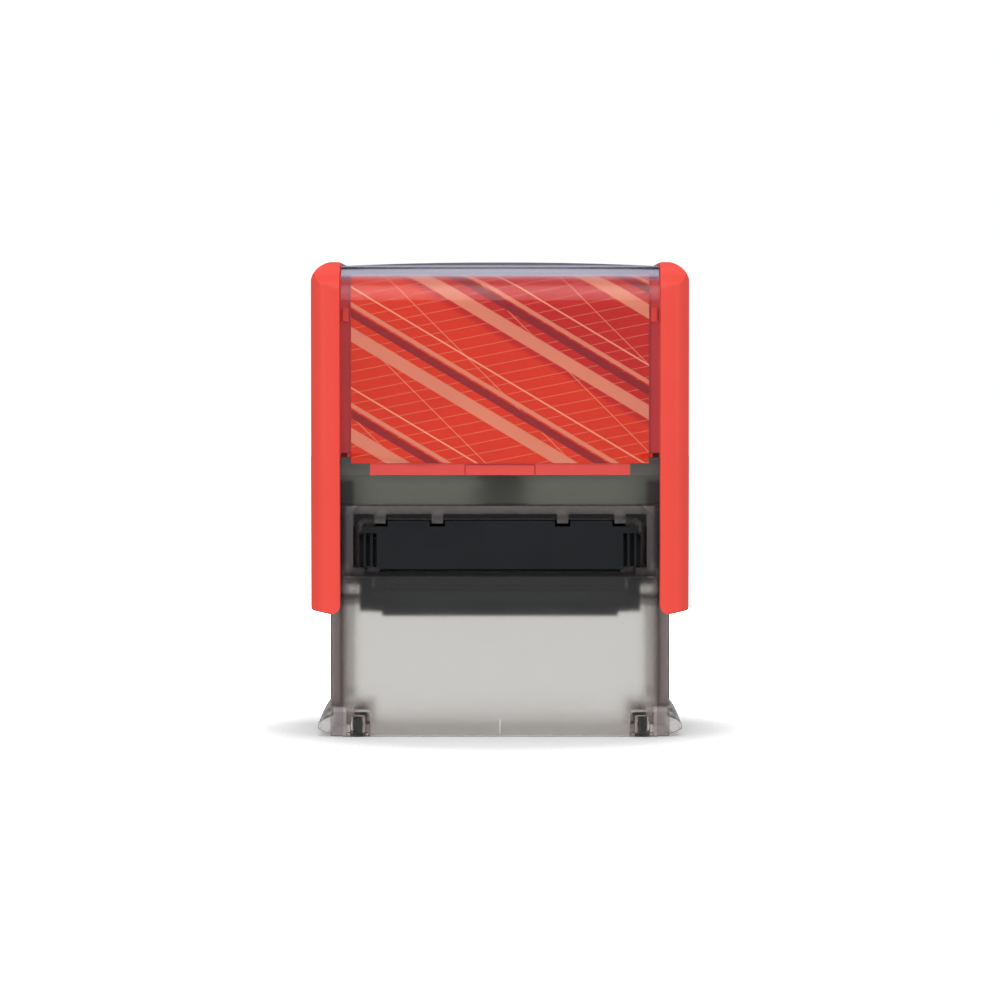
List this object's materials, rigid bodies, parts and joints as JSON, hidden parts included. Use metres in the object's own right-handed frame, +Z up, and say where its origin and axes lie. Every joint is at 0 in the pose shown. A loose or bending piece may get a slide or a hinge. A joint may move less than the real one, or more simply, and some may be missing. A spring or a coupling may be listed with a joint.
{
  "type": "self inking stamp",
  "caption": "Desk stamp whose cap presses down on a return spring while cam grooves turn the inked rubber die over onto the paper.",
  "frame": {"origin": "middle of the footprint, on the surface that the rubber feet rest on", "axes": "+X to the right along the imprint, -Y towards the front with the cartridge window, +Z up against the press direction"},
  "size_m": [0.0564, 0.034, 0.0712],
  "materials": {
    "frosted_base": "frosted translucent plastic",
    "black_plastic": "fine satin",
    "ink_felt": "inked felt",
    "carrier_plastic": "satin",
    "cushion_foam": "closed cell foam",
    "die_rubber": "laser cut rubber",
    "red_plastic": "glossy moulded plastic",
    "printed_card": "printed paper card",
    "clear_plastic": "clear polished plastic",
    "spring_steel": "drawn wire",
    "foot_rubber": "soft rubber",
    "pin_steel": "ground pin",
    "button_plastic": "glossy moulded plastic"
  },
  "bodies": {
    "base": {"base_frame": "frosted_base", "foot_right_front": "foot_rubber", "foot_right_rear": "foot_rubber", "foot_left_front": "foot_rubber", "foot_left_rear": "foot_rubber", "return_spring": "spring_steel"},
    "cartridge": {"cartridge_tray": "black_plastic", "ink_pad": "ink_felt"},
    "cap": {"cap_bow": "red_plastic", "index_card": "printed_card"},
    "cover": {"clear_cover": "clear_plastic"},
    "carrier": {"die_carrier": "carrier_plastic", "die_cushion": "cushion_foam", "rubber_die": "die_rubber", "axle_pin_right": "pin_steel", "axle_pin_left": "pin_steel"},
    "lock_right": {"lock_button_right": "button_plastic"},
    "lock_left": {"lock_button_left": "button_plastic"}
  },
  "joints": [
    {"name": "press", "type": "slide", "parent": "base", "child": "cap", "axis": [0, 0, -1], "range_m": [0, 0.0153], "stiffness_N_per_m": 700, "springref_m": -0.005, "deforming": ["return_spring"]},
    {"name": "flip", "type": "hinge", "parent": "cap", "child": "carrier", "pos_m": [0, 0, 0.02], "axis": [-1, 0, 0], "range_deg": [0, 180]},
    {"name": "cartridge_slide", "type": "slide", "parent": "base", "child": "cartridge", "axis": [0, 1, 0], "range_m": [-0.028, 0]},
    {"name": "cover_lift", "type": "slide", "parent": "cap", "child": "cover", "axis": [0, 0, 1], "range_m": [0, 0.034]},
    {"name": "lock_push_right", "type": "slide", "parent": "cap", "child": "lock_right", "axis": [-1, 0, 0], "range_m": [0, 0.0007], "stiffness_N_per_m": 900, "springref_m": -0.0008},
    {"name": "lock_push_left", "type": "slide", "parent": "cap", "child": "lock_left", "axis": [1, 0, 0], "range_m": [0, 0.0007], "stiffness_N_per_m": 900, "springref_m": -0.0008}
  ],
  "couplings": [
    {"joint": "flip", "follows": "press", "rad_per_m": 205.3}
  ]
}
